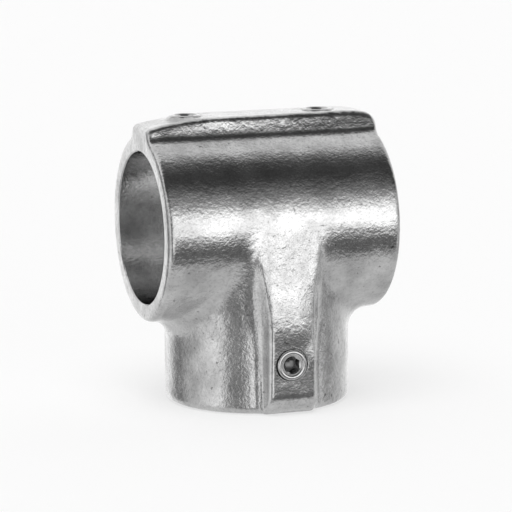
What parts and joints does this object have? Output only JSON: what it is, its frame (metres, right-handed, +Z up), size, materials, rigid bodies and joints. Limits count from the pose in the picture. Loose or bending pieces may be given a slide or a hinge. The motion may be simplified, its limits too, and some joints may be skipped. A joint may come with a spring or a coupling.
{
  "type": "tube clamp tee fitting",
  "caption": "Galvanised cast tee that joins the end of a tube at right angles to a tube running through it, each held by set screws in raised pads.",
  "frame": {"origin": "where the axis of the through sleeve crosses the axis of the branch socket", "axes": "+X along the through sleeve, +Z up out of the long pad with two set screws, -Z out of the branch socket's mouth, -Y out of the branch's screw pad"},
  "size_m": [0.08, 0.0665, 0.0959],
  "materials": {
    "galvanised_iron": "hot-dip galvanised, glossy with a fine ripple over the casting's skin",
    "plated_screw": "zinc plated, lightly worn round the key socket"
  },
  "bodies": {
    "root": {"tee_casting": "galvanised_iron", "set_screw_run_left": "plated_screw", "set_screw_run_right": "plated_screw", "set_screw_branch": "plated_screw"}
  },
  "joints": []
}
